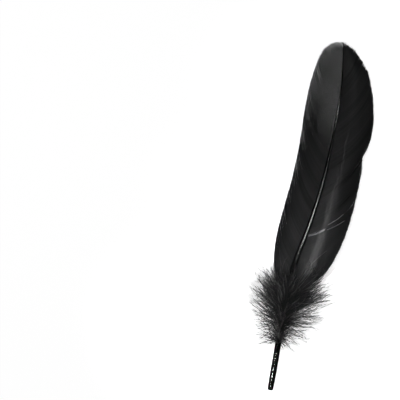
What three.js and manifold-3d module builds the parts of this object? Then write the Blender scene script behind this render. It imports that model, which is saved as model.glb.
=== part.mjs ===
// A goose quill feather, dyed black, lying on its smooth outer side with the grooved inner side up.
//
// The feather is one grown piece: a bare round quill, the tapering grooved shaft that it turns into,
// a vane on each side of the shaft, and loose down at the foot of the vanes. Millimetres, +Z up.
// While it is being shaped, Y is the distance from the cut end of the quill towards the tip, and X is
// the distance to the right of the straight line between those two ends.

import * as THREE from 'three';
import { mergeVertices } from 'three/addons/utils/BufferGeometryUtils.js';
import Module from 'manifold-3d';

const wasm = await Module();
wasm.setup();

// Lengths along the feather
const FEATHER_LENGTH = 200;
const DOWN_START = 28;        // the quill is bare below this
const VANE_START = 50;        // lowest barb of the firm vanes
const VANE_END = 196.5;       // highest barb of the firm vanes
const FLAT_END = 150;         // the shaft lies flat as far as this, and then rises to the tip

// Quill and shaft
const QUILL_WIDTH = 3.6;
const QUILL_END_WIDTH = 3.3;  // the blunt end
const QUILL_END_LENGTH = 10;  // the quill narrows to its end over this length
const SHAFT_TIP_WIDTH = 0.5;
const SHAFT_LOW_TAPER = 1.6;  // above 1, the shaft keeps its width for longer above the down
const SHAFT_TIP_TAPER = 1.25; // above 1, it is drawn out finer at its tip
const GROOVE_START = 45;
const GROOVE_RUN_IN = 20;     // the groove grows to its full depth over this length
const GROOVE_DEPTH = 0.45;    // as a share of the shaft's height
const SHAFT_SIDES = 12;
const SHAFT_STEPS = 38;
const SHAFT_BED = 0.1;        // how far the shaft's underside is sunk into the vanes
const SHAFT_TOP_SHARE = 0.85; // how high the shaft stands, as a share of its width

// Vanes
const VANE_THICKNESS = 0.7;
const EDGE_THICKNESS = 0.35;
const VANE_ROWS = 76;         // ribs of barbs along each vane
const VANE_COLUMNS = 4;
const FLAT_HALF_WIDTH = 5;    // the vanes lie flat this far out from the shaft
const FLAT_SHARE_LIMIT = 0.6; // and no further than this share of a short barb
const EDGE_LIFT = 6.5;        // how high the vanes' edges curl up
const FULL_LIFT_REACH = 20;   // where a vane is narrower than this, its edge curls up less
const TIP_LIFT = 5;           // how high the tip curls up
const RIB_HEIGHT = 0.25;
const RIB_OVERHANG = 0.45;    // how far every second rib stands out of the edge
const BARB_FAN = 0.86;        // how the barbs' ends crowd towards the tip, at the foot of a vane
const BARB_FAN_FALL = 0.33;   // and how much less they do so at its top
const BARB_BEND = 0.16;       // how far a barb bows away from the tip, as a share of its length

// The split in the right vane
const SPLIT_MOUTH = new THREE.Vector2(24.2, 139.4);
const SPLIT_FOOT = new THREE.Vector2(9.5, 118.5);
const SPLIT_WIDTH = 1.5;
const SPLIT_RUN_OUT = 4;      // how far the cutting wedge reaches past the edge
const SPLIT_OVERSHOOT = 1;    // and past the top and the underside

// Down
const LOCKS_PER_SIDE = 30;
const DOWN_END = 57;          // root of the highest lock
const DOWN_SEED = 5;          // picks the chance variation of the locks
const LENGTH_SWAY = 0.1;      // how unevenly long the locks are
const ANGLE_SWAY = 4;         // degrees
const LOCK_BEND = 0.16;       // how far a lock sags away from the tip, as a share of its length
const LOCK_CLIMB = 6;         // over this length of shaft the locks begin to lie on top of the vanes
const LOCK_RADIUS = 0.75;
const LOCK_BREADTH = 2.1;     // how much broader than thick a lock is
const LOCK_ROOT_SHARE = 0.4;  // a lock is this much thinner at its root
const LOCK_SIDES = 4;
const LOCK_STEPS = 6;
const LOCK_ANGLES = [112, 94, 79, 66, 56, 49]; // degrees from the shaft's direction, lowest lock first
const RIGHT_LOCK_LENGTHS = [13, 19, 25, 31, 33, 29];
const LEFT_LOCK_LENGTHS = [17, 20, 25, 29, 31, 28];
const LOCK_LAYERS = 3;        // neighbouring locks lie over each other in this many layers
const LAYER_HEIGHT = 1.3;
const LAYER_PEAK = 0.83;      // how far along a lock its layer is highest
const LOCK_CLEARANCE = 0.9;   // lowest middle line of a lock, above the surface

const shaftLine = new THREE.SplineCurve([
  new THREE.Vector2(0, 0),
  new THREE.Vector2(-0.9, 26),
  new THREE.Vector2(-2.1, 49),
  new THREE.Vector2(-1.5, 70),
  new THREE.Vector2(2.5, 96),
  new THREE.Vector2(5.1, 121),
  new THREE.Vector2(5.5, 150),
  new THREE.Vector2(4.1, 178),
  new THREE.Vector2(0, FEATHER_LENGTH),
]);

const rightEdge = new THREE.SplineCurve([
  new THREE.Vector2(14.5, 65),
  new THREE.Vector2(18.5, 75),
  new THREE.Vector2(21.8, 86),
  new THREE.Vector2(24.1, 100),
  new THREE.Vector2(25, 120),
  new THREE.Vector2(24.7, 133),
  new THREE.Vector2(23.8, 138.6),
  new THREE.Vector2(25.4, 144),
  new THREE.Vector2(26.2, 152),
  new THREE.Vector2(25, 163),
  new THREE.Vector2(21, 177),
  new THREE.Vector2(16, 187.2),
  new THREE.Vector2(11.2, 192.6),
  new THREE.Vector2(7.6, 195.9),
  new THREE.Vector2(4.2, 198.1),
  new THREE.Vector2(0.3, FEATHER_LENGTH - 0.4),
]);

const leftEdge = new THREE.SplineCurve([
  new THREE.Vector2(-11, 63),
  new THREE.Vector2(-13.4, 74),
  new THREE.Vector2(-14.4, 86),
  new THREE.Vector2(-13.6, 103),
  new THREE.Vector2(-12.4, 122),
  new THREE.Vector2(-12.4, 140),
  new THREE.Vector2(-13.4, 157),
  new THREE.Vector2(-13.6, 170),
  new THREE.Vector2(-13, 179.5),
  new THREE.Vector2(-12, 187),
  new THREE.Vector2(-10.3, 192.6),
  new THREE.Vector2(-7.4, 196.4),
  new THREE.Vector2(-4, 198.6),
  new THREE.Vector2(-0.3, FEATHER_LENGTH - 0.4),
]);

const featherMaterial = new THREE.MeshStandardMaterial({ color: 0x161617, roughness: 0.55, metalness: 0 });

// The next of a repeatable row of chance values between -1 and 1.
function sway() {
  return 2 * THREE.MathUtils.seededRandom() - 1;
}

// A value at a share of the way through a list of evenly spaced values.
function valueAlong(values, share) {
  const place = share * (values.length - 1);
  const before = Math.min(Math.floor(place), values.length - 2);
  return THREE.MathUtils.lerp(values[before], values[before + 1], place - before);
}

// A closed three.js geometry as a solid that can be joined and cut.
function toSolid(geometry) {
  geometry.deleteAttribute('normal');
  geometry.deleteAttribute('uv');
  const merged = mergeVertices(geometry);
  return new wasm.Manifold(new wasm.Mesh({
    numProp: 3,
    vertProperties: new Float32Array(merged.attributes.position.array),
    triVerts: new Uint32Array(merged.index.array),
  }));
}

// A solid as a three.js geometry.
function toGeometry(solid) {
  const mesh = solid.getMesh();
  const geometry = new THREE.BufferGeometry();
  geometry.setAttribute('position', new THREE.BufferAttribute(new Float32Array(mesh.vertProperties), 3));
  geometry.setIndex(new THREE.BufferAttribute(new Uint32Array(mesh.triVerts), 1));
  geometry.computeVertexNormals();
  return geometry;
}

// Height of the feather's underside above the surface, at a distance from the quill's end.
function shaftRise(y) {
  const past = Math.max(0, y - FLAT_END) / (FEATHER_LENGTH - FLAT_END);
  return TIP_LIFT * past * past;
}

// Height of a vane's underside above the shaft's, at a share of the way from the shaft to the edge.
function vaneRise(across, reach) {
  const flatShare = Math.min(FLAT_SHARE_LIMIT, FLAT_HALF_WIDTH / reach);
  const past = Math.max(0, across - flatShare) / (1 - flatShare);
  return EDGE_LIFT * Math.min(1, reach / FULL_LIFT_REACH) * past * past;
}

// Width of the quill and shaft at a distance from the quill's end.
function shaftWidth(y) {
  const share = THREE.MathUtils.clamp((y - DOWN_START) / (FEATHER_LENGTH - DOWN_START), 0, 1);
  const taper = Math.pow(1 - Math.pow(share, SHAFT_LOW_TAPER), SHAFT_TIP_TAPER);
  const fullness = THREE.MathUtils.smoothstep(y, 0, QUILL_END_LENGTH);
  const quillWidth = THREE.MathUtils.lerp(QUILL_END_WIDTH, QUILL_WIDTH, fullness);
  return THREE.MathUtils.lerp(SHAFT_TIP_WIDTH, quillWidth, taper);
}

// The quill and shaft: a round rod whose lowest corners lie in one flat underside, and whose top
// corner sinks above the quill to make the groove.
function shaftGeometry() {
  const geometry = new THREE.CylinderGeometry(1, 1, 1, SHAFT_SIDES, SHAFT_STEPS);
  const position = geometry.attributes.position;
  const flat = Math.cos(2 * Math.PI / SHAFT_SIDES);
  for (let i = 0; i < position.count; i += 1) {
    const middle = shaftLine.getPointAt(position.getY(i) + 0.5);
    const width = shaftWidth(middle.y);
    const height = width * THREE.MathUtils.lerp(1, SHAFT_TOP_SHARE, Math.min(1, middle.y / GROOVE_START));
    const isTopCorner = position.getZ(i) > (1 + flat) * 0.5;
    const grooved = THREE.MathUtils.smoothstep(middle.y, GROOVE_START, GROOVE_START + GROOVE_RUN_IN);
    const groove = isTopCorner ? grooved * GROOVE_DEPTH * height : 0;
    const up = Math.max(-flat, position.getZ(i)) + flat;
    const bed = SHAFT_BED * THREE.MathUtils.smoothstep(middle.y, GROOVE_START, VANE_START);
    position.setXYZ(
      i,
      middle.x + position.getX(i) * width * 0.5,
      middle.y,
      shaftRise(middle.y) + bed + up * height * 0.5 - groove,
    );
  }
  return geometry;
}

// A point along one barb: a gentle bow from its root on the shaft to its end on the vane's edge.
function barbPoint(root, end, side, across) {
  const bow = new THREE.Vector2(end.x - root.x, end.y - root.y).multiplyScalar(BARB_BEND);
  const control = new THREE.Vector2(
    (root.x + end.x) * 0.5 + side * bow.y,
    (root.y + end.y) * 0.5 - side * bow.x,
  );
  return new THREE.QuadraticBezierCurve(root, control, end).getPoint(across);
}

// Where a barb grows from the shaft, at a share of the way up the vanes.
function barbRoot(share) {
  const along = THREE.MathUtils.lerp(VANE_START, VANE_END, share) / FEATHER_LENGTH;
  return shaftLine.getPointAt(along);
}

// Where that barb ends on a vane's edge.
function barbEnd(edge, share) {
  const crowding = BARB_FAN - BARB_FAN_FALL * share;
  return edge.getPointAt(Math.pow(share, crowding));
}

// Both vanes as one thin sheet of ribs. A rib runs from the left edge down to the shaft and up again
// to the right edge, as the barbs do. The sheet lies flat near the shaft and curls up at its edges.
function vanesGeometry() {
  const geometry = new THREE.BoxGeometry(2, 1, 1, 2 * VANE_COLUMNS, VANE_ROWS, 1);
  const position = geometry.attributes.position;
  for (let i = 0; i < position.count; i += 1) {
    const side = position.getX(i) < 0 ? -1 : 1;
    const across = Math.abs(position.getX(i));
    const share = position.getY(i) + 0.5;
    const isTop = position.getZ(i) > 0;
    const isRib = Math.round(share * VANE_ROWS) % 2 === 1;
    const root = barbRoot(share);
    const end = barbEnd(side < 0 ? leftEdge : rightEdge, share);
    const overhang = isRib ? RIB_OVERHANG : 0;
    end.addScaledVector(end.clone().sub(root).normalize(), overhang);
    const point = barbPoint(root, end, side, across);
    const reach = Math.abs(end.x - root.x);
    const thickness = THREE.MathUtils.lerp(VANE_THICKNESS, EDGE_THICKNESS, across);
    const rib = isRib ? RIB_HEIGHT : 0;
    const top = isTop ? thickness + rib : 0;
    position.setXYZ(i, point.x, point.y, shaftRise(point.y) + vaneRise(across, reach) + top);
  }
  return geometry;
}

// A thin wedge standing through the right vane, open at the edge and closing towards the shaft.
function splitGeometry() {
  const along = SPLIT_MOUTH.clone().sub(SPLIT_FOOT).normalize();
  const mouth = SPLIT_MOUTH.clone().addScaledVector(along, SPLIT_RUN_OUT);
  const aside = new THREE.Vector2(-along.y, along.x).multiplyScalar(SPLIT_WIDTH * 0.5);
  const outline = new THREE.Shape([
    SPLIT_FOOT,
    mouth.clone().sub(aside),
    mouth.clone().add(aside),
  ]);
  const depth = EDGE_LIFT + TIP_LIFT + VANE_THICKNESS + 2 * SPLIT_OVERSHOOT;
  const wedge = new THREE.ExtrudeGeometry(outline, { depth, bevelEnabled: false });
  return wedge.translate(0, 0, -SPLIT_OVERSHOOT);
}

// One lock of down: a pointed curl that leaves the shaft sideways and bends towards the tip.
function lockGeometry(number, side) {
  const share = number / (LOCKS_PER_SIDE - 1);
  const rootY = THREE.MathUtils.lerp(DOWN_START, DOWN_END, share);
  const root = shaftLine.getPointAt(rootY / FEATHER_LENGTH);
  const lengths = side < 0 ? LEFT_LOCK_LENGTHS : RIGHT_LOCK_LENGTHS;
  const reach = valueAlong(lengths, share) * (1 + LENGTH_SWAY * sway());
  const angle = THREE.MathUtils.degToRad(valueAlong(LOCK_ANGLES, share) + ANGLE_SWAY * sway());
  const heading = new THREE.Vector2(side * Math.sin(angle), Math.cos(angle));
  const tip = root.clone().addScaledVector(heading, reach);
  const control = root.clone().addScaledVector(heading, reach * 0.5);
  control.y -= reach * LOCK_BEND;
  const middle = new THREE.QuadraticBezierCurve(root, control, tip);
  const layer = (number % LOCK_LAYERS) * LAYER_HEIGHT;
  const overVane = THREE.MathUtils.smoothstep(rootY, VANE_START - LOCK_CLIMB, VANE_START);

  const geometry = new THREE.ConeGeometry(LOCK_RADIUS, 1, LOCK_SIDES, LOCK_STEPS);
  const position = geometry.attributes.position;
  for (let i = 0; i < position.count; i += 1) {
    const along = position.getY(i) + 0.5;
    const centre = middle.getPoint(along);
    const tangent = middle.getTangent(along);
    const fullness = LOCK_ROOT_SHARE + along * (2 - LOCK_ROOT_SHARE);
    const offset = position.getX(i) * fullness * LOCK_BREADTH;
    const climb = overVane * (VANE_THICKNESS + vaneRise(along, reach));
    const rise = LOCK_CLEARANCE + layer * Math.sin(along / LAYER_PEAK * Math.PI / 2) + climb;
    position.setXYZ(
      i,
      centre.x + tangent.y * offset,
      centre.y - tangent.x * offset,
      rise + position.getZ(i) * fullness,
    );
  }
  return geometry;
}

// The whole feather as one solid.
function buildFeather() {
  const shaft = toSolid(shaftGeometry());
  const vanes = toSolid(vanesGeometry()).subtract(toSolid(splitGeometry()));
  let feather = shaft.add(vanes);
  for (let number = 0; number < LOCKS_PER_SIDE; number += 1) {
    for (const side of [-1, 1]) {
      feather = feather.add(toSolid(lockGeometry(number, side)));
    }
  }
  return feather;
}

// The origin is on the surface that the feather lies on, under the middle of its length and width.
function placeOnSurface(geometry) {
  geometry.computeBoundingBox();
  const middle = geometry.boundingBox.getCenter(new THREE.Vector3());
  geometry.translate(-middle.x, -middle.y, -geometry.boundingBox.min.z);
  return geometry;
}

THREE.MathUtils.seededRandom(DOWN_SEED);
const feather = new THREE.Mesh(placeOnSurface(toGeometry(buildFeather())), featherMaterial);
feather.name = 'feather';

const group = new THREE.Group();
group.add(feather);

export default group;
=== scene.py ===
"""A goose quill feather, dyed black, lying on its smooth outer side with the grooved side up.

The feather is dressed in four kinds of piece: the glossy shaft with its bare quill, the two vanes of
hooked barbs, the loose down at their foot, and a few barbs that have come out of line. Shapes are
worked out in millimetres in the feather's own plan: y runs from the cut end of the quill to the tip,
x to the right of the straight line between them, and z up. The frame takes metres.
"""

import logging
import math
from dataclasses import dataclass, field, replace
from enum import Enum
from typing import Sequence

import bpy
import numpy as np
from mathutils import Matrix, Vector


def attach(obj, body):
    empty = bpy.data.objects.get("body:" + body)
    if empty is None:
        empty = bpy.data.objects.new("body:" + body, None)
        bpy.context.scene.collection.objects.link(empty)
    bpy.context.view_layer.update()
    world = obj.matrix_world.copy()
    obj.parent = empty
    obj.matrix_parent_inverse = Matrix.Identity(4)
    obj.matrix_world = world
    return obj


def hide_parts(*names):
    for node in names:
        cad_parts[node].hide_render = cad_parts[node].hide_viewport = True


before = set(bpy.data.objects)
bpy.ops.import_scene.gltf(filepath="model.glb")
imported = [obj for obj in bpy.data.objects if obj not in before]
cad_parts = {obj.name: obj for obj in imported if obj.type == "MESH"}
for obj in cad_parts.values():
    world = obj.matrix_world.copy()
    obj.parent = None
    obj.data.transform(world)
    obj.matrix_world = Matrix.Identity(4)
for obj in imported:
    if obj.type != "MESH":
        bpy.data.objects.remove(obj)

MM = 0.001
TINY = 1e-9
UPWARD = np.array([0.0, 0.0, 1.0])
NODE = "feather"
BODY = "root"
Array = np.ndarray
Pair = tuple[float, float]
Triple = tuple[float, float, float]
Colour = Triple
Piece = bpy.types.Object
Material = bpy.types.Material
Socket = bpy.types.NodeSocket
Node = bpy.types.Node
Inputs = dict[str | int, object]
log = logging.getLogger("feather")


class Side(Enum):
    """Which side of the shaft a vane or a tuft of down grows on."""

    LEFT = -1
    RIGHT = 1


def smoothstep(value: Array, low: float, high: float) -> Array:
    """Eases from 0 to 1 as a value goes from low to high."""
    share = np.clip((value - low) / (high - low), 0.0, 1.0)
    return share * share * (3.0 - 2.0 * share)


def unit(vectors: Array) -> Array:
    """Vectors of the same direction and length 1."""
    return vectors / np.maximum(np.linalg.norm(vectors, axis=-1, keepdims=True), TINY)


def add_object(name: str, data: bpy.types.ID) -> Piece:
    """Adds an object to the scene.

    Args:
        name: Its name.
        data: Its mesh, lamp or camera.

    Returns:
        The new object.
    """
    piece = bpy.data.objects.new(name, data)
    bpy.context.scene.collection.objects.link(piece)
    return piece


class Line:
    """A smooth line through a few points of the plan, measured by its own length."""

    SAMPLES = 40

    def __init__(self, points: Sequence[Pair]) -> None:
        """Fits the line.

        Args:
            points: The points that it runs through, in millimetres.
        """
        fixed = np.array(points, float)
        last = len(fixed) - 1
        nearby = [[fixed[min(max(i + k, 0), last)] for k in (-1, 0, 1, 2)] for i in range(last)]
        self._points = np.concatenate([*(self._stretch(*four) for four in nearby), fixed[-1:]])
        steps = np.linalg.norm(np.diff(self._points, axis=0), axis=1)
        run = np.concatenate([[0.0], np.cumsum(steps)])
        self._shares = run / run[-1]

    def _stretch(self, before: Array, start: Array, end: Array, after: Array) -> Array:
        """Points between two fixed ones.

        Args:
            before: The fixed point before the stretch.
            start: Its first point.
            end: Its last point, which is left to the next stretch.
            after: The fixed point after it.

        Returns:
            The points in between, as rows.
        """
        t = np.linspace(0.0, 1.0, self.SAMPLES, endpoint=False)[:, None]
        slope = (end - before) * t
        bend = (2.0 * before - 5.0 * start + 4.0 * end - after) * t**2
        twist = (3.0 * start - before - 3.0 * end + after) * t**3
        return start + 0.5 * (slope + bend + twist)

    def at(self, share: Array) -> Array:
        """Points at shares of the line's length, with x and y on the last axis."""
        return np.stack([np.interp(share, self._shares, self._points[:, k]) for k in (0, 1)], axis=-1)


@dataclass(frozen=True)
class FeatherForm:
    """The feather's driving sizes in millimetres, the same as those of the solid."""

    length: float = 200.0
    down_start: float = 28.0
    vane_start: float = 50.0
    vane_end: float = 196.5
    flat_end: float = 150.0
    tip_lift: float = 5.0
    edge_lift: float = 6.5
    full_lift_reach: float = 20.0
    flat_half_width: float = 5.0
    flat_share_limit: float = 0.6
    least_reach: float = 0.1
    fan: float = 0.86
    fan_fall: float = 0.33
    barb_bend: float = 0.16
    shaft_line: Line = field(default_factory=lambda: Line([
        (0, 0), (-0.9, 26), (-2.1, 49), (-1.5, 70), (2.5, 96),
        (5.1, 121), (5.5, 150), (4.1, 178), (0, 200),
    ]))
    right_edge: Line = field(default_factory=lambda: Line([
        (14.5, 65), (18.5, 75), (21.8, 86), (24.1, 100), (25, 120), (24.7, 133), (23.8, 138.6),
        (25.4, 144), (26.2, 152), (25, 163), (21, 177), (16, 187.2), (11.2, 192.6), (7.6, 195.9),
        (4.2, 198.1), (0.1, 199.6),
    ]))
    left_edge: Line = field(default_factory=lambda: Line([
        (-11, 63), (-13.4, 74), (-14.4, 86), (-13.6, 103), (-12.4, 122), (-12.4, 140), (-13.4, 157),
        (-13.6, 170), (-13, 179.5), (-12, 187), (-10.3, 192.6), (-7.4, 196.4), (-4, 198.6), (-0.1, 199.6),
    ]))

    def shaft_at(self, y: Array) -> Array:
        """Points of the shaft's middle line at a distance along it from the quill's end."""
        return self.shaft_line.at(np.asarray(y, float) / self.length)

    def shaft_rise(self, y: Array) -> Array:
        """Height of the shaft's underside, which curls up towards the tip."""
        past = np.maximum(0.0, y - self.flat_end) / (self.length - self.flat_end)
        return self.tip_lift * past**2

    def vane_rise(self, across: Array, reach: Array) -> Array:
        """Height of a vane above the shaft's underside.

        Args:
            across: Share of the way from the shaft to the vane's edge.
            reach: How far the vane reaches out there, in millimetres.

        Returns:
            The height in millimetres.
        """
        plain = self.flat_half_width / np.maximum(reach, self.least_reach)
        flat = np.minimum(self.flat_share_limit, plain)
        past = np.maximum(0.0, across - flat) / (1.0 - flat)
        return self.edge_lift * np.minimum(1.0, reach / self.full_lift_reach) * past**2

    def barb_line(self, side: Side, share: Array, across: Array) -> tuple[Array, Array]:
        """The plan of a vane's barbs.

        Args:
            side: The vane's side.
            share: Where each barb is rooted, as a share of the vane's length.
            across: Shares of the way along each barb.

        Returns:
            The points as an array of barbs by shares by two, and how far out each barb reaches.
        """
        root = self.shaft_at(self.vane_start + (self.vane_end - self.vane_start) * share)
        edge = self.left_edge if side is Side.LEFT else self.right_edge
        end = edge.at(share ** (self.fan - self.fan_fall * share))
        chord = end - root
        aside = side.value * np.stack([chord[:, 1], -chord[:, 0]], axis=-1)
        control = 0.5 * (root + end) + self.barb_bend * aside
        u = across[None, :, None]
        points = (1 - u) ** 2 * root[:, None] + 2 * u * (1 - u) * control[:, None]
        return points + u**2 * end[:, None], np.abs(chord[:, 0])


class Placement:
    """Puts the feather's plan where the solid lies in the frame."""

    END_BAND = 0.0005

    def __init__(self) -> None:
        """Reads where the quill's end lies."""
        corners = np.array([v.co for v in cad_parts[NODE].data.vertices])
        foot = corners[:, 1].min()
        quill_end = corners[corners[:, 1] < foot + self.END_BAND]
        self.origin = np.array([quill_end[:, 0].mean(), foot, 0.0])

    def to_frame(self, points: Array) -> Array:
        """Plan points in millimetres as frame points in metres."""
        return points * MM + self.origin


@dataclass(frozen=True)
class Strands:
    """Middle lines of a number of strands, with the directions at each of their steps."""

    path: Array
    heading: Array
    across: Array
    up: Array

    @classmethod
    def along(cls, path: Array, top: Array) -> "Strands":
        """Strands along a path.

        Args:
            path: Strands by steps by three, in millimetres.
            top: Roughly where their top faces, of the same shape or one vector.

        Returns:
            The strands with unit vectors along, to the right and out of the top.
        """
        heading = unit(np.gradient(path, axis=1))
        across = unit(np.cross(heading, np.broadcast_to(top, path.shape)))
        return cls(path, heading, across, np.cross(across, heading))

    @property
    def count(self) -> int:
        """How many strands there are."""
        return self.path.shape[0]

    @property
    def steps(self) -> int:
        """How many steps each strand has."""
        return self.path.shape[1]


class MeshParts:
    """Gathers closed swept strands into one mesh, with values that the finishes read.

    Spikes on a strand keep a little over one step away from its end.
    """

    TRIANGLE = (math.pi / 2, math.pi * 7 / 6, math.pi * 11 / 6)
    SPIKE_FACES = ((0, 1, 2), (0, 3, 1), (1, 3, 2), (2, 3, 0))
    FREE_STEPS = 1.001

    def __init__(self) -> None:
        """Starts with nothing in it."""
        self._vertices: list[Array] = []
        self._faces: dict[int, list[Array]] = {}
        self._values: dict[str, list[Array]] = {"along": [], "tone": [], "run": []}
        self._count = 0

    def sweep(self, strands: Strands, outline: Array, tone: Array) -> None:
        """Adds closed strands, each an outline carried along its path.

        Args:
            strands: Where the strands run.
            outline: The outline at each step, strands by steps by corners by two, anticlockwise.
            tone: Values from 0 to 1, strands by steps.
        """
        count, steps, corners = outline.shape[:3]
        aside = outline[..., :1] * strands.across[:, :, None]
        rings = strands.path[:, :, None] + aside + outline[..., 1:] * strands.up[:, :, None]
        first = self._count + np.arange(count)[:, None, None] * steps * corners
        ring = first + np.arange(steps)[None, :, None] * corners
        here = ring + np.arange(corners)[None, None, :]
        beside = ring + np.roll(np.arange(corners), -1)[None, None, :]
        quads = np.stack([here[:, :-1], here[:, 1:], beside[:, 1:], beside[:, :-1]], axis=-1)
        self._add_faces(quads.reshape(-1, 4))
        self._add_faces(here[:, 0])
        self._add_faces(here[:, -1, ::-1])
        lengths = np.linalg.norm(np.diff(strands.path, axis=1), axis=-1)
        run = np.concatenate([np.zeros((count, 1)), np.cumsum(lengths, axis=1)], axis=1)
        self._vertices.append(rings.reshape(-1, 3))
        self._add_values("run", run, corners)
        self._add_values("along", run / np.maximum(run[:, -1:], TINY), corners)
        self._add_values("tone", tone, corners)
        self._count += count * steps * corners

    def threads(self, strands: Strands, radius: Array, tone: Array) -> None:
        """Adds thin strands with three sides.

        Args:
            strands: Where the strands run.
            radius: How thick they are at each step, strands by steps.
            tone: One value from 0 to 1 for each strand.
        """
        circle = np.stack([np.cos(self.TRIANGLE), np.sin(self.TRIANGLE)], axis=-1)
        outline = radius[:, :, None, None] * circle
        self.sweep(strands, outline, np.repeat(tone[:, None], strands.steps, axis=1))

    def barbules(self, strands: Strands, fringe: "Fringe", tone: Array, rng: np.random.Generator) -> None:
        """Adds a fringe of thin closed spikes with three sides along every strand.

        Args:
            strands: The strands that they grow on.
            fringe: How many there are and how long.
            tone: One value for each strand.
            rng: Where the variation comes from.
        """
        shape = (strands.count, fringe.count)
        share = rng.uniform(fringe.start, fringe.end, shape)
        where = share * (strands.steps - self.FREE_STEPS)
        step = where.astype(int)
        part = (where - step)[..., None]
        row = np.arange(strands.count)[:, None]
        root = strands.path[row, step] * (1.0 - part) + strands.path[row, step + 1] * part
        turn = rng.uniform(-fringe.roll, fringe.roll, shape)[..., None]
        flip = rng.choice([-1.0, 1.0], shape)[..., None]
        outward = flip * strands.across[row, step] * np.cos(turn) + strands.up[row, step] * np.sin(turn)
        lean = rng.uniform(*fringe.lean, shape)[..., None]
        length = fringe.length * (1.0 - fringe.taper * share) * rng.uniform(*fringe.lengths, shape)
        tip = root + unit(outward + lean * strands.heading[row, step]) * length[..., None]
        tip[..., 2] = np.maximum(tip[..., 2], fringe.lowest)
        tones = np.repeat(tone, fringe.count)
        self._spikes(root.reshape(-1, 3), tip.reshape(-1, 3), fringe.radius, share.ravel(), tones)

    def _spikes(self, root: Array, tip: Array, radius: float, along: Array, tone: Array) -> None:
        """Adds thin closed spikes with three sides.

        Args:
            root: Where each spike starts, as rows of millimetres.
            tip: Where each ends.
            radius: How thick they are at the root.
            along: The value of along that each takes from its strand.
            tone: The value of tone that each takes from its strand.
        """
        count = len(root)
        heading = unit(tip - root)
        across = unit(np.cross(heading, UPWARD))
        up = np.cross(across, heading)
        base = [root + radius * (math.cos(turn) * across + math.sin(turn) * up) for turn in self.TRIANGLE]
        self._vertices.append(np.stack([*base, tip], axis=1).reshape(-1, 3))
        size = len(base) + 1
        start = self._count + size * np.arange(count)[:, None]
        for corners in self.SPIKE_FACES:
            self._add_faces(start + np.array(corners))
        for name, value in (("run", along), ("along", along), ("tone", tone)):
            self._add_values(name, value, size)
        self._count += size * count

    def _add_faces(self, faces: Array) -> None:
        """Adds faces that all have the same number of corners."""
        self._faces.setdefault(faces.shape[-1], []).append(faces)

    def _add_values(self, name: str, values: Array, corners: int) -> None:
        """Adds one value for each step of each strand, for all its corners."""
        self._values[name].append(np.repeat(values.reshape(-1), corners))

    def build(self, name: str, place: Placement, sharp_degrees: float = 60.0) -> Piece:
        """Makes the object.

        Args:
            name: The piece's name.
            place: Where the feather lies in the frame.
            sharp_degrees: Edges that turn more than this stay sharp.

        Returns:
            The new object, linked to the scene.
        """
        mesh = bpy.data.meshes.new(name)
        points = place.to_frame(np.concatenate(self._vertices))
        mesh.vertices.add(len(points))
        mesh.vertices.foreach_set("co", points.astype(np.float32).ravel())
        groups = [np.concatenate(faces) for faces in self._faces.values()]
        totals = np.concatenate([np.full(len(g), g.shape[1]) for g in groups])
        loops = np.concatenate([g.ravel() for g in groups])
        mesh.loops.add(len(loops))
        mesh.loops.foreach_set("vertex_index", loops.astype(np.int32))
        mesh.polygons.add(len(totals))
        starts = np.concatenate([[0], np.cumsum(totals)[:-1]])
        mesh.polygons.foreach_set("loop_start", starts.astype(np.int32))
        mesh.polygons.foreach_set("use_smooth", np.ones(len(totals), bool))
        for key, parts in self._values.items():
            layer = mesh.attributes.new(key, "FLOAT", "POINT")
            layer.data.foreach_set("value", np.concatenate(parts).astype(np.float32))
        mesh.update(calc_edges=True)
        mesh.validate()
        mesh.set_sharp_from_angle(angle=math.radians(sharp_degrees))
        return add_object(name, mesh)


class Value:
    """A number that varies over a surface. Sums and products of it add Math nodes."""

    def __init__(self, graph: "Graph", socket: Socket) -> None:
        """Wraps a socket of a graph."""
        self.graph = graph
        self.socket = socket

    def _math(self, operation: str, first: "Value | float", second: "Value | float" = 0.0) -> "Value":
        """Adds one Math node and wraps what comes out of it."""
        node = self.graph.node("ShaderNodeMath", {"operation": operation}, {0: first, 1: second})
        return Value(self.graph, node.outputs[0])

    def __add__(self, other: "Value | float") -> "Value":
        """This plus other."""
        return self._math("ADD", self, other)

    def __sub__(self, other: "Value | float") -> "Value":
        """This minus other."""
        return self._math("SUBTRACT", self, other)

    def __rsub__(self, other: float) -> "Value":
        """A number minus this."""
        return self._math("SUBTRACT", other, self)

    def __mul__(self, other: "Value | float") -> "Value":
        """This times other."""
        return self._math("MULTIPLY", self, other)

    def __pow__(self, other: float) -> "Value":
        """This to a power."""
        return self._math("POWER", self, other)

    __radd__ = __add__
    __rmul__ = __mul__

    def sine(self) -> "Value":
        """The sine of this, in radians."""
        return self._math("SINE", self)

    def clamped(self) -> "Value":
        """This, kept between 0 and 1."""
        return self._math("MAXIMUM", self._math("MINIMUM", self, 1.0), 0.0)


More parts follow.
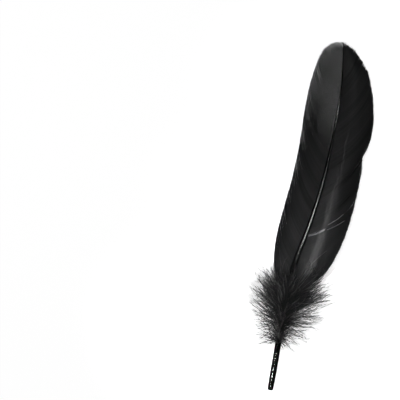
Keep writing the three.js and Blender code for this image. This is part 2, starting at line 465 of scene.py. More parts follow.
class Graph:
    """A material's nodes, from its Principled shader back."""

    def __init__(self, name: str) -> None:
        """Starts a material with its shader and output.

        Args:
            name: The material's name.
        """
        self.material = bpy.data.materials.new(name)
        self.material.use_nodes = True
        self.tree = self.material.node_tree
        self.tree.nodes.clear()
        self.shader = self.node("ShaderNodeBsdfPrincipled")
        self.node("ShaderNodeOutputMaterial", sockets={"Surface": self.shader.outputs[0]})

    def node(self, kind: str, settings: Inputs | None = None, sockets: Inputs | None = None) -> Node:
        """Adds one node.

        Args:
            kind: The node's type.
            settings: Its settings, which are set first.
            sockets: What its input sockets hold: a number, a colour, a Value or an output socket.

        Returns:
            The new node.
        """
        node = self.tree.nodes.new(kind)
        for key, value in (settings or {}).items():
            setattr(node, key, value)
        for key, value in (sockets or {}).items():
            self.feed(node.inputs[key], value)
        return node

    def feed(self, socket: Socket, value: object) -> None:
        """Links or sets one input socket.

        Args:
            socket: The input socket.
            value: A Value, an output socket, a number or a colour.
        """
        source = value.socket if isinstance(value, Value) else value
        if isinstance(source, Socket):
            self.tree.links.new(source, socket)
        else:
            socket.default_value = source

    def attribute(self, name: str) -> Value:
        """A value that the mesh holds under that name."""
        node = self.node("ShaderNodeAttribute", {"attribute_name": name, "attribute_type": "GEOMETRY"})
        return Value(self, node.outputs["Fac"])

    def noise(self, scale: float, stretch: Triple = (1.0, 1.0, 1.0), detail: float = 3.0) -> Value:
        """Soft noise in the feather's own space.

        Args:
            scale: How many patches fit in a metre.
            stretch: How much finer the noise is along each axis.
            detail: How many finer layers it has.

        Returns:
            The noise, from 0 to 1.
        """
        space = self.node("ShaderNodeTexCoord").outputs["Object"]
        mapped = self.node("ShaderNodeMapping", sockets={"Vector": space, "Scale": stretch})
        sockets = {"Vector": mapped.outputs[0], "Scale": scale, "Detail": detail}
        return Value(self, self.node("ShaderNodeTexNoise", sockets=sockets).outputs["Fac"])

    def blend(self, share: Value, first: Colour | Socket, second: Colour) -> Socket:
        """A colour between two colours.

        Args:
            share: 0 for the first colour, 1 for the second.
            first: The first colour, or the socket that it comes out of.
            second: The second colour.

        Returns:
            The socket that the colour comes out of.
        """
        start = (*first, 1.0) if isinstance(first, tuple) else first
        settings = {"data_type": "RGBA", "clamp_factor": True}
        node = self.node("ShaderNodeMix", settings, {0: share, 6: start, 7: (*second, 1.0)})
        return node.outputs[2]

    def raise_surface(self, height: Value, depth: float, strength: float) -> None:
        """Feeds the shader's normal with a bump.

        Args:
            height: The surface's relief, from 0 to 1.
            depth: How deep the relief is, in metres.
            strength: How strongly it shows, from 0 to 1.
        """
        relief = {"Height": height, "Distance": depth, "Strength": strength}
        bump = self.node("ShaderNodeBump", sockets=relief)
        self.feed(self.shader.inputs["Normal"], bump.outputs[0])

    def dress(self, colour: Socket, roughness: Value) -> None:
        """Feeds the shader's colour and roughness."""
        self.feed(self.shader.inputs["Base Color"], colour)
        self.feed(self.shader.inputs["Roughness"], roughness)

    def fix(self, **constants: float | tuple[float, ...]) -> None:
        """Sets values of the shader that are the same all over the surface."""
        for key, value in constants.items():
            self.shader.inputs[key.replace("_", " ")].default_value = value


@dataclass(frozen=True)
class Finish:
    """How a kind of surface looks."""

    name: str

    def material(self) -> Material:
        """Builds the material of this finish.

        Returns:
            The new material.
        """
        graph = Graph(self.name)
        self.paint(graph)
        return graph.material

    def paint(self, graph: Graph) -> None:
        """Feeds the shader of a new material. Each finish has its own way."""
        raise NotImplementedError


@dataclass(frozen=True)
class VaneFinish(Finish):
    """Dyed barbs: near black, with a satin gloss and fine ripples where the barbules leave each barb.

    Colours go from dark to light with a barb's tone, and to the tip's colour over its last 1 / rim: a
    painted light for the light through the thin barb ends.
    Patches vary the tone, by a least factor and a change, and the roughness, upwards from the least.
    """

    dark: Colour = (0.001, 0.001, 0.001)
    light: Colour = (0.034, 0.034, 0.035)
    tip: Colour = (0.03, 0.03, 0.032)
    painted_rim_light: float = 14.0
    patch_scale: float = 90.0
    patch_stretch: Triple = (1.0, 0.4, 1.0)
    patch_tone: Pair = (0.8, 0.4)
    roughness: float = 0.2
    patch_roughness: float = 0.14
    tone_roughness: float = 0.06
    gloss: float = 0.115
    barbule_step: float = 0.09
    ripple_depth: float = 0.000004
    ripple_strength: float = 0.25

    def paint(self, graph: Graph) -> None:
        """Feeds the shader.

        Args:
            graph: The material's nodes.
        """
        tone = graph.attribute("tone")
        patches = graph.noise(self.patch_scale, self.patch_stretch)
        least, change = self.patch_tone
        body = graph.blend((tone * (patches * change + least)).clamped(), self.dark, self.light)
        # Painted light: each barb's last stretch is blended to the lighter tip colour, for the light that
        # shines through the thin barb ends.
        painted_rim_light = (graph.attribute("along") * self.painted_rim_light - (self.painted_rim_light - 1.0)).clamped()
        varied = patches * self.patch_roughness + tone * self.tone_roughness
        graph.dress(graph.blend(painted_rim_light, body, self.tip), self.roughness + varied)
        ripple = (graph.attribute("run") * (2.0 * math.pi / self.barbule_step)).sine() * 0.5 + 0.5
        graph.raise_surface(ripple, self.ripple_depth, self.ripple_strength)
        graph.fix(Specular_IOR_Level=self.gloss)


@dataclass(frozen=True)
class QuillFinish(Finish):
    """Dyed horn: glossy black, scuffed in fine lines along the shaft."""

    name: str = "glossy quill"
    dark: Colour = (0.001, 0.001, 0.001)
    light: Colour = (0.004, 0.004, 0.004)
    roughness: float = 0.045
    streak_scale: float = 2600.0
    streak_stretch: Triple = (1.0, 0.06, 1.0)
    streak_detail: float = 4.0
    streak_roughness: float = 0.1
    streak_relief: float = 0.1
    bead_scale: float = 900.0
    bead_detail: float = 2.0
    relief_depth: float = 0.00003
    relief_strength: float = 0.5
    refraction: float = 1.8

    def paint(self, graph: Graph) -> None:
        """Feeds the shader.

        Args:
            graph: The material's nodes.
        """
        streaks = graph.noise(self.streak_scale, self.streak_stretch, self.streak_detail)
        beads = graph.noise(self.bead_scale, detail=self.bead_detail)
        roughness = self.roughness + streaks * self.streak_roughness
        graph.dress(graph.blend(streaks, self.dark, self.light), roughness)
        relief = streaks * self.streak_relief + beads
        graph.raise_surface(relief, self.relief_depth, self.relief_strength)
        graph.fix(IOR=self.refraction, Specular_IOR_Level=1.0)


@dataclass(frozen=True)
class DownFinish(Finish):
    """Loose dyed down: matte and dark. A few strands, picked at random, carry a painted highlight that gets
    lighter towards their ends.
    """

    name: str = "matte down"
    dark: Colour = (0.004, 0.004, 0.004)
    light: Colour = (0.34, 0.34, 0.345)
    roughness: float = 0.4
    tone_power: float = 7.0
    painted_highlight_root: float = 0.2
    painted_highlight_gain: float = 1.6
    patch_scale: float = 300.0
    patch_roughness: float = 0.2
    gloss: float = 0.4

    def paint(self, graph: Graph) -> None:
        """Feeds the shader.

        Args:
            graph: The material's nodes.
        """
        # Painted highlight: the strands that tone picks are blended towards the light colour, more towards
        # their ends.
        outward = graph.attribute("along") * (1.0 - self.painted_highlight_root) + self.painted_highlight_root
        share = (graph.attribute("tone") ** self.tone_power * outward * self.painted_highlight_gain).clamped()
        roughness = self.roughness + graph.noise(self.patch_scale) * self.patch_roughness
        graph.dress(graph.blend(share, self.dark, self.light), roughness)
        graph.fix(Specular_IOR_Level=self.gloss)


@dataclass(frozen=True)
class FloorFinish(Finish):
    """A plain white sheet that is lit up evenly, as on a light table."""

    name: str = "white floor"
    white: Colour = (0.8, 0.8, 0.8)
    shade: Colour = (0.784, 0.784, 0.784)
    grain_scale: float = 40.0
    roughness: float = 0.8
    glow: float = 0.9

    def paint(self, graph: Graph) -> None:
        """Feeds the shader.

        Args:
            graph: The material's nodes.
        """
        colour = graph.blend(graph.noise(self.grain_scale), self.shade, self.white)
        graph.feed(graph.shader.inputs["Base Color"], colour)
        lit = (1.0, 1.0, 1.0, 1.0)
        graph.fix(Roughness=self.roughness, Emission_Color=lit, Emission_Strength=self.glow)


def finish_piece(piece: Piece, material: Material) -> Piece:
    """Dresses a piece and ties it to the frame.

    Args:
        piece: The piece, in place.
        material: Its finish.

    Returns:
        The same piece.
    """
    piece.data.materials.append(material)
    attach(piece, BODY)
    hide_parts(NODE)
    triangles = sum(len(face.vertices) - 2 for face in piece.data.polygons)
    log.info("%s: %d triangles", piece.name, triangles)
    return piece


@dataclass
class Shaft:
    """The bare quill and the grooved shaft that it turns into, as one tapering rod.

    Its end is rounded over a few steps of its own, down to a blunt share of the width.
    """

    form: FeatherForm
    place: Placement
    steps: int = 420
    corners: int = 28
    quill_width: float = 3.6
    tip_width: float = 0.42
    end_narrowing: float = 0.08
    end_taper_length: float = 10.0
    rounding_length: float = 1.2
    blunt_share: float = 0.45
    end_steps: int = 7
    end_share: float = 0.006
    taper: Pair = (1.6, 1.25)
    top_share: float = 0.85
    groove_start: float = 38.0
    groove_full: float = 62.0
    groove_depth: float = 0.4
    groove_half_width: float = 0.45
    flat_share: float = 0.9
    sharp_degrees: float = 50.0

    def width(self, y: Array) -> Array:
        """The rod's width.

        Args:
            y: Distances from the quill's end, in millimetres.

        Returns:
            The width there, in millimetres.
        """
        tapering = self.form.length - self.form.down_start
        share = np.clip((y - self.form.down_start) / tapering, 0.0, 1.0)
        plain = (1.0 - share ** self.taper[0]) ** self.taper[1]
        plain = self.tip_width + (self.quill_width - self.tip_width) * plain
        plain = plain * (1.0 - self.end_narrowing * (1.0 - smoothstep(y, 0.0, self.end_taper_length)))
        nearness = np.clip(1.0 - y / self.rounding_length, 0.0, 1.0)
        return plain * (self.blunt_share + (1.0 - self.blunt_share) * np.sqrt(1.0 - nearness**2))

    def build(self) -> Piece:
        """Makes the rod.

        Returns:
            The dressed piece.
        """
        end = np.linspace(0.0, self.end_share, self.end_steps, endpoint=False)
        shares = np.concatenate([end, np.linspace(self.end_share, 1.0, self.steps - self.end_steps)])
        plan = self.form.shaft_line.at(shares)
        y = plan[:, 1]
        width = self.width(y)
        height = width * (1.0 + (self.top_share - 1.0) * np.clip(y / self.groove_full, 0.0, 1.0))
        turn = np.linspace(0.0, 2.0 * math.pi, self.corners, endpoint=False) + math.pi / self.corners
        across, up = (np.tile(part(turn), (self.steps, 1)) for part in (np.cos, np.sin))
        grooved = smoothstep(y, self.groove_start, self.groove_full)[:, None]
        hollow = np.clip(1.0 - (across / self.groove_half_width) ** 2, 0.0, 1.0) * (up > 0.0)
        up = np.maximum(up, -self.flat_share) - grooved * self.groove_depth * hollow
        sides = [across * width[:, None] * 0.5, (up + self.flat_share) * height[:, None] * 0.5]
        path = np.column_stack([plan, self.form.shaft_rise(y)])[None]
        parts = MeshParts()
        outline = np.stack(sides, axis=-1)[None]
        parts.sweep(Strands.along(path, UPWARD), outline, np.full((1, self.steps), 0.5))
        piece = parts.build("shaft", self.place, self.sharp_degrees)
        return finish_piece(piece, QuillFinish().material())


@dataclass(frozen=True)
class Split:
    """A place where a vane's barbs have come unhooked: those above it lie over those below it.

    Start, end and closing are shares of a barb's length, the share and the spreads of the vane's.
    Opening, step and tuck are in millimetres. The shade is a painted shadow: it darkens the barbs beside
    the split, where those lying over them would shade them.
    """

    share: float
    start: float = 0.25
    end: float = 2.0
    closing: float = 0.2
    opening: float = 0.0
    step: float = 0.5
    spread: float = 0.02
    shade: float = 0.9
    painted_shadow_spread: float = 0.006
    tuck: float = 0.0
    tuck_spread: float = 0.012

    def opened(self, u: Array) -> Array:
        """How far the split has opened at shares along the barbs, from 0 to 1."""
        closed = smoothstep(u, self.end - self.closing, self.end)
        return smoothstep(u, self.start, min(self.end, 1.0)) * (1.0 - closed)


@dataclass
class Vane:
    """One vane: a row of flat barbs, each hooked to the next, lying flat and curled up at the edge.

    Barbs cling together in clumps, which fade out over calm_band near the tip. At the foot they are
    loose. Each wave has a height, turns along the vane and a shift across it. Lengths are in
    millimetres. Bands are shares of the vane's length, wave_band and loose_band of a barb's.
    """

    form: FeatherForm
    place: Placement
    side: Side
    finish: VaneFinish
    splits: tuple[Split, ...]
    seed: int
    web_reach: float = 0.75
    tip_web_reach: float = 0.75
    fringe: float = 0.9
    tip_fringe: float = 0.9
    barbs: int = 320
    steps: int = 26
    step_crowding: float = 1.6
    bed: float = 0.28
    ramus_height: float = 0.05
    ridge_across: tuple[float, ...] = (-0.52, -0.36, -0.12, 0.12, 0.36)
    ridge_heights: tuple[float, ...] = (0.0, 0.6, 1.0, 1.0, 0.6, 0.15)
    ridge_fall: float = 0.5
    web_band: Pair = (0.35, 0.8)
    clump_barbs: tuple[int, int] = (4, 16)
    cling: float = 0.003
    cling_spread: float = 0.6
    clump_shift: float = 0.01
    clump_lift: float = 0.02
    calm_band: Pair = (0.9, 0.97)
    overhang: float = 0.4
    overhang_power: int = 6
    ragged: float = 0.4
    clump_ragged: float = 0.2
    stray: float = 0.04
    undulation: float = 0.07
    waves: tuple[Triple, ...] = ((1.0, 2.3, 3.0), (0.6, 5.1, -4.0), (0.35, 11.0, 2.0))
    wave_band: Pair = (0.1, 0.9)
    loose_share: float = 0.05
    loose_shift: float = 0.5
    loose_lift: float = 0.6
    loose_length: float = 1.2
    loose_narrowing: float = 0.5
    loose_band: Pair = (0.3, 0.9)
    tone_spread: float = 0.05
    painted_edge_light: float = 0.0
    painted_light_band: Pair = (0.4, 0.8)
    fringe_band: Pair = (0.72, 0.97)
    fray_narrowing: float = 0.22
    sharp_degrees: float = 35.0

    def __post_init__(self) -> None:
        """Draws the values that vary from barb to barb."""
        rng = np.random.default_rng(self.seed)
        count = self.barbs

        def drawn(spread: float, middle: float = 0.0) -> Array:
            """One random value for each barb."""
            return rng.normal(middle, spread, count)

        self._share = (np.arange(count) + 0.5) / count
        starts = np.cumsum(rng.integers(*self.clump_barbs, count))
        clump = np.searchsorted(starts, np.arange(count), side="right")
        calm = 1.0 - smoothstep(self._share, *self.calm_band)
        loose = 1.0 - smoothstep(self._share, 0.0, self.loose_share)
        sizes = np.bincount(clump)
        middle = np.cumsum(sizes) - (sizes + 1) / 2.0
        gather = (np.arange(count) - middle[clump]) * calm
        shift = drawn(self.clump_shift)[clump] * calm + drawn(self.loose_shift) * loose
        lift = drawn(self.clump_lift)[clump] * calm + np.abs(drawn(self.loose_lift)) * loose
        gather = gather * np.abs(drawn(self.cling * self.cling_spread, self.cling))[clump]
        tone = drawn(self.tone_spread)[clump] + drawn(self.tone_spread)
        overhang = self.overhang + drawn(self.ragged) + drawn(self.clump_ragged)[clump]
        self._overhang = overhang + drawn(self.loose_length) * loose
        columns = (loose, gather, shift, lift, np.clip(0.5 + tone, 0.0, 1.0), drawn(self.stray))
        self._loose, self._gather, self._shift, self._lift, self._tone, self._stray = (
            column[:, None] for column in columns
        )
        self._phase = rng.uniform(0.0, 2.0 * math.pi, len(self.waves))

    def _surface(self, u: Array) -> Array:
        """The vane's smooth surface.

        Args:
            u: Shares along each barb.

        Returns:
            Its points, barbs by steps by three.
        """
        plan, reach = self.form.barb_line(self.side, self._share, u)
        rise = self.form.shaft_rise(plan[..., 1]) + self.form.vane_rise(u, reach[:, None]) + self.bed
        turn = self._share[:, None] * 2.0 * math.pi
        wave = sum(
            height * np.sin(turns * turn + across * u + phase)
            for (height, turns, across), phase in zip(self.waves, self._phase)
        )
        rise = rise + self.undulation * wave * smoothstep(u, *self.wave_band)
        return np.concatenate([plan, rise[..., None]], axis=-1)

    def _frayed(self, u: Array, lengths: Array) -> Array:
        """How far along its loose tip each barb is.

        Args:
            u: Shares along each barb.
            lengths: How long each barb is, in millimetres.

        Returns:
            Barbs by steps, from 0 where the loose tip starts to 1 at its end.
        """
        loose = self.fringe + self.tip_fringe * smoothstep(self._share, *self.fringe_band)
        start = (1.0 - loose / np.maximum(lengths, 2.0 * loose))[:, None]
        return np.clip((u - start) / (1.0 - start), 0.0, 1.0)

    def build(self) -> Piece:
        """Makes the barbs.

        Returns:
            The dressed piece.
        """
        u = 1.0 - (1.0 - np.linspace(0.0, 1.0, self.steps)) ** self.step_crowding
        surface = self._surface(u)
        lengths = np.linalg.norm(np.diff(surface, axis=1), axis=-1).sum(axis=1)
        beside = np.gradient(surface, axis=0)
        heading = unit(np.gradient(surface, axis=1))
        normal = unit(np.cross(heading, beside) * self.side.value)
        tipward = unit(np.cross(normal, heading) * self.side.value)
        spacing = np.abs(np.sum(beside * tipward, axis=-1))
        frayed = self._frayed(u, lengths)
        push = u**2 * (self._shift - self._gather * spacing) + self._stray * frayed**2
        lift = u**2 * self._lift
        raised = np.zeros_like(lift)
        # Painted light: over a middle band of the vane's length the barbs are drawn lighter towards their
        # outer ends, for light through the thin margin.
        lit = self.painted_edge_light * smoothstep(self._share, *self.painted_light_band)[:, None]
        tone = self._tone * (1.0 + lit * u)
        overhang = self._overhang[:, None]
        for split in self.splits:
            offset = self._share[:, None] - split.share
            near, painted_shadow, tucked = (
                np.exp(-np.abs(offset) / spread)
                for spread in (split.spread, split.painted_shadow_spread, split.tuck_spread)
            )
            opened = split.opened(u)
            push = push + 0.5 * split.opening * near * np.sign(offset) * opened
            raised = raised + split.step * near * (offset > 0.0) * opened
            # Painted shadow: the barbs beside a split are darkened where the barbs lying over them would
            # shade them.
            tone = tone * (1.0 - split.shade * painted_shadow * opened)
            overhang = overhang - split.tuck * tucked * (offset < 0.0)
        path = surface + tipward * push[..., None] + normal * lift[..., None]
        end_step = unit(path[:, -1] - path[:, -2])
        path = path + u[:, None] ** self.overhang_power * (overhang * end_step)[:, None]
        path[..., 2] = np.maximum(path[..., 2] + raised, self.bed * 0.5)
        parts = MeshParts()
        parts.sweep(Strands.along(path, normal), self._outline(u, spacing, frayed), tone)
        piece = parts.build(f"vane_{self.side.name.lower()}", self.place, self.sharp_degrees)
        return finish_piece(piece, self.finish.material())

    def _outline(self, u: Array, spacing: Array, frayed: Array) -> Array:
        """The barb's outline: a ridge, and a thin web that reaches over to the next barb.

        Args:
            u: Shares along the barbs.
            spacing: Distance between neighbouring barbs, barbs by steps.
            frayed: How far along its loose tip each barb is, barbs by steps.

        Returns:
            Outlines, barbs by steps by corners by two.
        """
        loose = self.loose_narrowing * self._loose * smoothstep(u, *self.loose_band)
        narrow = (1.0 - loose) * (1.0 - self.fray_narrowing * frayed)
        change = self.tip_web_reach - self.web_reach
        reach = self.web_reach + change * smoothstep(self._share, *self.web_band)
        corners = np.column_stack([np.tile(self.ridge_across, (self.barbs, 1)), reach])
        across = corners[:, None] * (spacing * narrow)[..., None]
        height = np.array(self.ridge_heights) * self.ramus_height * (1.0 - self.ridge_fall * u)[:, None]
        outline = np.stack([across * -self.side.value, height * np.ones_like(across)], axis=-1)
        return outline[:, :, ::1 if self.side is Side.RIGHT else -1]


@dataclass(frozen=True)
class Fringe:
    """The barbules along a downy barb, from a start to an end share of its length."""

    count: int = 80
    length: float = 1.3
    taper: float = 0.55
    radius: float = 0.035
    start: float = 0.03
    end: float = 0.7
    lean: Pair = (0.3, 1.2)
    lengths: Pair = (0.4, 1.3)
    roll: float = 0.9
    lowest: float = 0.05


@dataclass(frozen=True)
class Tuft:
    """How one group of downy barbs grows: angles and lengths go from its first root to its last.

    Angles are in degrees from the shaft, and the bend, hook and spread in radians. Shares are the
    least and most of the full length that a barb has. Crossing barbs lie over the shaft.
    """

    name: str
    count: int
    start: float
    end: float
    angles: tuple[float, ...]
    lengths: tuple[float, ...]
    shares: Pair = (0.72, 1.05)
    rise: float = 2.0
    bend: float = -0.25
    hook: float = 0.5
    spread: float = 0.07
    clump: int = 7
    crossing: bool = False
    radius: float = 0.13
    fringe: Fringe = Fringe()


@dataclass
class Down:
    """The loose down on one side of the shaft's foot: long soft barbs, each with a fringe of barbules.

    Barbs of one clump share a part of their length, angle and bend. Each wavers along its way and
    lies in a layer of its own, higher where the vane lies under it.
    """

    form: FeatherForm
    place: Placement
    side: Side
    seed: int
    fullness: float = 1.0
    steps: int = 15
    left_share: float = 0.86
    root_jitter: Pair = (-2.0, 3.0)
    clump_lengths: Pair = (0.88, 1.06)
    bend_spreads: Pair = (0.15, 0.12)
    wave_sizes: Pair = (0.03, 0.16)
    wave_turns: Pair = (4.0, 9.0)
    wave_starts: Pair = (0.0, 6.3)
    layers: Pair = (0.15, 1.0)
    arch_turn: float = 0.62 * math.pi
    start_height: float = 1.0
    crossing_height: float = 3.3
    crossing_climb: float = 0.3
    vane_band: Pair = (-4.0, 6.0)
    curl: float = 0.4
    curl_turns: Pair = (5.0, 10.0)
    curl_start: float = 6.0
    lowest: float = 0.25
    thinning: float = 0.7

    def _paths(self, tuft: Tuft, rng: np.random.Generator) -> Array:
        """Middle lines of a group's strands.

        Args:
            tuft: The group.
            rng: Where the variation comes from.

        Returns:
            The lines, strands by steps by three, in millimetres.
        """
        count = tuft.count

        def drawn(limits: Pair) -> Array:
            """A column of random values between two limits, one for each strand."""
            return rng.uniform(*limits, count)[:, None]

        clump = np.arange(count) // tuft.clump
        jitter = rng.uniform(*self.root_jitter, count)
        share = np.clip((np.arange(count) + jitter) / count, 0.0, 1.0)
        root_y = tuft.start + (tuft.end - tuft.start) * share
        places = np.linspace(0.0, 1.0, len(tuft.angles))
        angle = np.radians(np.interp(share, places, tuft.angles))
        length = np.interp(share, np.linspace(0.0, 1.0, len(tuft.lengths)), tuft.lengths)
        length = length * (self.left_share if self.side is Side.LEFT else 1.0)
        length = length * rng.uniform(*tuft.shares, count) * rng.uniform(*self.clump_lengths, count)[clump]
        angle = angle + rng.normal(0.0, tuft.spread, count)[clump] + rng.normal(0.0, tuft.spread, count)
        s = np.linspace(0.0, 1.0, self.steps)[None, :]
        together, apart = self.bend_spreads
        bend = (rng.normal(tuft.bend, together, count)[clump] + rng.normal(0.0, apart, count))[:, None]
        wave = drawn(self.wave_sizes) * np.sin(s * drawn(self.wave_turns) + drawn(self.wave_starts))
        hook = rng.normal(0.0, tuft.hook, count)[:, None]
        heading = angle[:, None] + bend * s + wave * s + hook * s**3
        step_length = (length / (self.steps - 1))[:, None]
        flip = np.where(drawn((0.0, 1.0)) < 0.5, -1.0, 1.0) if tuft.crossing else 1.0
        x = np.cumsum(np.sin(heading) * step_length, axis=1) * self.side.value * flip
        y = np.cumsum(np.cos(heading) * step_length, axis=1)
        root = self.form.shaft_at(root_y)
        layer = drawn(self.layers)
        lift = self.start_height + tuft.rise * layer * np.sin(s * self.arch_turn)
        if tuft.crossing:
            lift = self.crossing_height + tuft.rise * layer * smoothstep(s, 0.0, self.crossing_climb)
        over = smoothstep(root_y - self.form.vane_start, *self.vane_band)[:, None]
        lift = lift + over * self.form.vane_rise(s, length[:, None])
        curl = self.curl * np.sin(s * drawn(self.curl_turns) + layer * self.curl_start) * s
        z = np.maximum(lift + curl, self.lowest)
        return np.stack([x + root[:, None, 0], y + root[:, None, 1], z], axis=-1)

    def build(self, tufts: Sequence[Tuft]) -> list[Piece]:
        """Makes the strands and their barbules.

        Args:
            tufts: The groups to make.

        Returns:
            The dressed pieces, one for each group.
        """
        rng = np.random.default_rng(self.seed)
        material = DownFinish(f"matte down {self.side.name.lower()}").material()
        pieces = []
        for tuft in tufts:
            tuft = replace(tuft, count=round(tuft.count * self.fullness))
            strands = Strands.along(self._paths(tuft, rng), UPWARD)
            tone = rng.uniform(0.0, 1.0, strands.count)
            taper = 1.0 - self.thinning * np.linspace(0.0, 1.0, self.steps)
            parts = MeshParts()
            parts.threads(strands, np.tile(tuft.radius * taper, (strands.count, 1)), tone)
            parts.barbules(strands, tuft.fringe, tone, rng)
            piece = parts.build(f"{tuft.name}_{self.side.name.lower()}", self.place)
            pieces.append(finish_piece(piece, material))
        return pieces


@dataclass
class StrayBarbs:
    """Barbs out of line that lie over the right vane: two long ones and a frayed patch. Their light grey is
    a painted highlight on black barbs.
    """

    form: FeatherForm
    place: Placement
    lines: tuple[tuple[Pair, ...], ...] = (
        ((13.0, 95.0), (17.3, 98.3), (21.1, 101.9)),
        ((13.0, 98.0), (16.8, 101.6), (20.0, 105.5)),
    )
    patch_line: tuple[Pair, ...] = ((3.6, 89.9), (7.6, 91.9), (11.6, 95.2))
    patch_count: int = 12
    patch_spread: float = 0.35
    patch_kinks: float = 0.2
    thinning: float = 0.6
    vane_reach: float = 20.0
    steps: int = 24
    radius: float = 0.13
    patch_radius: float = 0.05
    clearance: float = 0.5
    arch: float = 0.8
    # Painted highlight: these barbs are drawn light grey for the light that the lifted barbs catch.
    finish: DownFinish = DownFinish("painted highlight barbs", (0.2, 0.2, 0.2), (0.6, 0.6, 0.61), 0.3)
    seed: int = 5

    def build(self) -> Piece:
        """Makes the barbs.

        Returns:
            The dressed piece.
        """
        rng = np.random.default_rng(self.seed)
        s = np.linspace(0.0, 1.0, self.steps)
        middle = np.array(self.patch_line)
        patch = [
            middle + rng.normal(0.0, self.patch_spread, 2) + rng.normal(0.0, self.patch_kinks, middle.shape)
            for _ in range(self.patch_count)
        ]
        plans = np.stack([Line(line).at(s) for line in (*self.lines, *patch)])
        across = (plans[..., 0] - self.form.shaft_at(plans[..., 1])[..., 0]) / self.vane_reach
        rise = self.form.vane_rise(np.clip(across, 0.0, 1.0), np.full(plans.shape[:2], self.vane_reach))
        height = rise + self.clearance + self.arch * np.sin(s * math.pi)
        strands = Strands.along(np.concatenate([plans, height[..., None]], axis=-1), UPWARD)
        thickness = np.array([self.radius] * len(self.lines) + [self.patch_radius] * len(patch))
        parts = MeshParts()
        parts.threads(strands, thickness[:, None] * (1.0 - self.thinning * s), np.ones(len(plans)))
        piece = parts.build("stray_barbs", self.place)
        return finish_piece(piece, self.finish.material())


@dataclass(frozen=True)
class SoftBox:
    """A soft box: where it hangs in the feather's plan, where it points, how big and how bright it is.

    A grid in front of its face narrows its beam to a spread in degrees.
    """

    name: str
    where: Triple
    aim: Triple
    size: Pair
    glow: float
    spread: float = 179.0

    @property
    def energy(self) -> float:
        """The lamp's power that gives its face that glow, seen along the beam.

        Returns:
            The power in watts.
        """
        half = math.radians(self.spread) / 2.0
        narrowing = math.tan(half) / (math.tan(half) - half)
        return self.glow * math.pi * self.size[0] * self.size[1] * MM**2 / narrowing


@dataclass
class Studio:
    """The floor, the light and the camera, which looks straight down.

    Lengths are in millimetres, apart from floor_half, which is in metres.
    """

    place: Placement
    boxes: tuple[SoftBox, ...]
    lens: float = 180.0
    sensor: float = 36.0
    view_width: float = 225.6
    view_centre: Pair = (-60.57, 96.87)
    lean: float = 11.8
    floor_half: float = 1.5
    world_glow: float = 0.05

    def camera(self) -> None:
        """Sets up the camera."""
        data = bpy.data.cameras.new("camera")
        data.lens = self.lens
        data.sensor_width = self.sensor
        camera = add_object("camera", data)
        height = self.view_width * self.lens / self.sensor
        camera.location = self.place.to_frame(np.array([*self.view_centre, height]))
        camera.rotation_euler = (0.0, 0.0, math.radians(self.lean))
        bpy.context.scene.camera = camera

    def floor(self) -> None:
        """Lays the floor under the feather."""
        half = self.floor_half
        mesh = bpy.data.meshes.new("floor")
        corners = [(-half, -half, 0.0), (half, -half, 0.0), (half, half, 0.0), (-half, half, 0.0)]
        mesh.from_pydata(corners, [], [(0, 1, 2, 3)])
        mesh.materials.append(FloorFinish().material())
        floor = add_object("floor", mesh)
        floor.visible_glossy = False

    def hang(self, box: SoftBox) -> None:
        """Hangs a soft box and turns it to the feather.

        Args:
            box: The soft box.
        """
        data = bpy.data.lights.new(box.name, "AREA")
        data.shape = "RECTANGLE"
        data.size, data.size_y = box.size[0] * MM, box.size[1] * MM
        data.spread = math.radians(box.spread)
        data.energy = box.energy
        lamp = add_object(box.name, data)
        where = self.place.to_frame(np.array(box.where))
        target = self.place.to_frame(np.array(box.aim))
        lamp.location = where
        lamp.rotation_euler = Vector((target - where).tolist()).to_track_quat("-Z", "Y").to_euler()

    def light(self) -> None:
        """Lights the scene with a dim sky and the soft boxes."""
        world = bpy.data.worlds.new("pale sky")
        world.use_nodes = True
        sky = world.node_tree.nodes["Background"]
        sky.inputs["Strength"].default_value = self.world_glow
        sky.inputs["Color"].default_value = (1.0, 1.0, 1.0, 1.0)
        world.cycles_visibility.glossy = False
        bpy.context.scene.world = world
        for box in self.boxes:
            self.hang(box)
        bpy.context.scene.view_settings.view_transform = "Standard"


SOFT_BOXES = (
    SoftBox("satin_box", (-230, 225, 620), (4, 30, 0), (110, 100), 460, spread=9),
    SoftBox("middle_box", (-230, 380, 620), (2, 92, 0), (100, 90), 150, spread=6.5),
    SoftBox("upper_box", (-230, 490, 620), (4, 150, 0), (90, 90), 70, spread=7),
    SoftBox("shaft_box", (-207, 146, 620), (5, 110, 0), (24, 155), 26),
    SoftBox("tip_box", (8, 590, 500), (18, 168, 0), (100, 100), 80, spread=9),
    SoftBox("quill_box", (-150, -60, 620), (0, 10, 0), (12, 90), 240, spread=13),
)

RIGHT_SPLITS = (
    Split(0.40, 0.2, opening=-0.35, step=0.9, tuck=1.0),
    Split(0.31, 0.25, 0.85, opening=-0.1, step=0.3),
)
LEFT_SPLITS = (Split(0.22, 0.4, opening=-0.15), Split(0.63, 0.5, opening=-0.15))

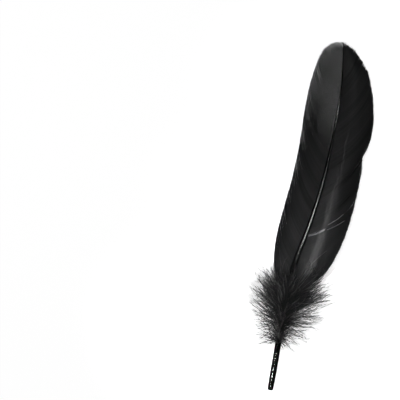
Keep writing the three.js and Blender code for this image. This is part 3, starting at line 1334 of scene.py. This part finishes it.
TUFTS = (
    Tuft("foot_down", 200, 42, 57, (58, 48), (28, 20), shares=(0.6, 1.0), rise=1.0, bend=-0.15,
         hook=0.2, spread=0.05, clump=3, fringe=Fringe(90, length=1.1, taper=0.3, end=0.95)),
    Tuft("long_down", 170, 38, 54, (80, 68, 58, 52), (26, 30, 33, 29), spread=0.13, clump=2,
         fringe=Fringe(80, length=0.4, end=0.9)),
    Tuft("short_down", 160, 37, 54, (84, 72, 60, 54), (22, 29, 32, 28), shares=(0.25, 0.7), rise=2.6,
         spread=0.24, clump=3, fringe=Fringe(80, length=0.6, end=0.9)),
    Tuft("low_down", 46, 27.5, 40, (116, 102, 90, 80), (7, 13, 20, 26), shares=(0.6, 1.05), hook=1.0,
         spread=0.24, clump=1, fringe=Fringe(60, length=0.3, end=0.8)),
    Tuft("wisps", 140, 27.5, 54, (114, 96, 82, 70, 60, 54), (15, 20, 25, 28, 30, 28),
         shares=(0.75, 1.15), rise=3.0, hook=1.0, spread=0.28, clump=1, radius=0.08,
         fringe=Fringe(40, length=0.25, end=0.7)),
    Tuft("stray_down", 44, 27.5, 46, (118, 100, 84), (17, 24, 30), shares=(0.7, 1.1), rise=3.0,
         hook=1.2, spread=0.35, clump=1, radius=0.09, fringe=Fringe(40, length=0.2, end=0.8)),
    Tuft("matted_down", 190, 26, 58, (38, 22, 14, 12), (8, 13, 17, 13), shares=(0.6, 1.1), rise=1.8,
         bend=0.1, spread=0.22, crossing=True, fringe=Fringe(70)),
)
LOW_LEFT_TUFT = Tuft(
    "loose_down", 60, 27.5, 40, (114, 106, 98, 88), (19, 21, 23, 25), shares=(0.5, 1.05), hook=0.8,
    spread=0.2, clump=1, fringe=Fringe(60, length=0.35, end=0.8),
)


def main() -> None:
    """Builds the studio and the feather in it."""
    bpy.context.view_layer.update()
    logging.basicConfig(level=logging.INFO, format="%(message)s")
    form = FeatherForm()
    place = Placement()
    studio = Studio(place, SOFT_BOXES)
    studio.camera()
    studio.floor()
    studio.light()
    Shaft(form, place).build()
    satin = VaneFinish("satin right vane")
    Vane(form, place, Side.RIGHT, satin, RIGHT_SPLITS, seed=11, painted_edge_light=1.1).build()
    # Painted light: the left vane's finish has a lighter colour than the right one's, for the brighter
    # light that this vane shows.
    satin = VaneFinish("satin left vane", light=(0.047, 0.047, 0.048), roughness=0.22)
    Vane(
        form, place, Side.LEFT, satin, LEFT_SPLITS, seed=23, web_reach=0.54, tip_web_reach=0.44,
        fringe=1.8, clump_shift=0.004, cling=0.0, fray_narrowing=0.12,
    ).build()
    Down(form, place, Side.RIGHT, seed=31).build(TUFTS)
    Down(form, place, Side.LEFT, seed=47, fullness=0.8).build((*TUFTS, LOW_LEFT_TUFT))
    StrayBarbs(form, place).build()


if __name__ == "__main__":
    main()
